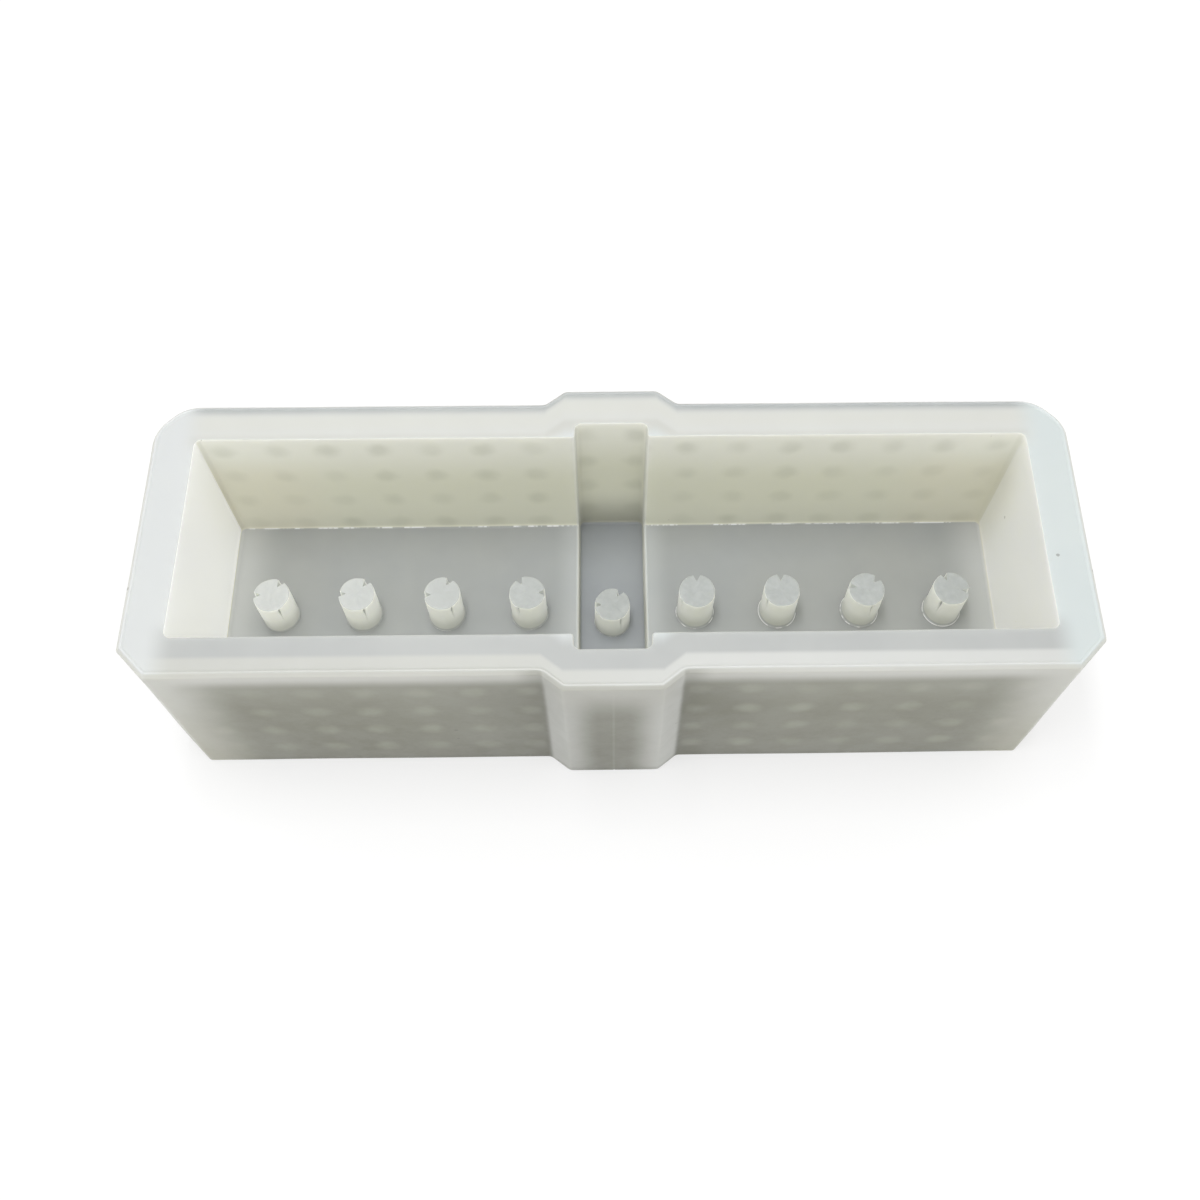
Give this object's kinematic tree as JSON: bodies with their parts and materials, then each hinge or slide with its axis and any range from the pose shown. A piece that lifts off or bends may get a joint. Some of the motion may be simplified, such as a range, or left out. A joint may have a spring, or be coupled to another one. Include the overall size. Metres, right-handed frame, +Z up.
{
  "type": "soap loaf mould",
  "caption": "Thick-walled rectangular silicone block mould with a long cavity, a deeper cross channel, slit round core posts in a row on its floor and perforated stiffeners in its long walls.",
  "frame": {"origin": "middle of the base, on the surface the mould stands on", "axes": "+X along the block, +Y towards the back wall (the one whose corner shoulders are rounded and whose stiffener stands higher), +Z up, out of the cavity"},
  "size_m": [0.28, 0.0986, 0.076],
  "materials": {
    "block_silicone": "satin, milky translucent natural silicone",
    "post_silicone": "matte, whiter translucent silicone",
    "stiffener_board": "matte cream"
  },
  "bodies": {
    "root": {"mould_body": "block_silicone", "front_wall_stiffener": "stiffener_board", "back_wall_stiffener": "stiffener_board", "core_post_1": "post_silicone", "core_post_2": "post_silicone", "core_post_3": "post_silicone", "core_post_4": "post_silicone", "core_post_5": "post_silicone", "core_post_6": "post_silicone", "core_post_7": "post_silicone", "core_post_8": "post_silicone", "core_post_9": "post_silicone"}
  },
  "joints": []
}
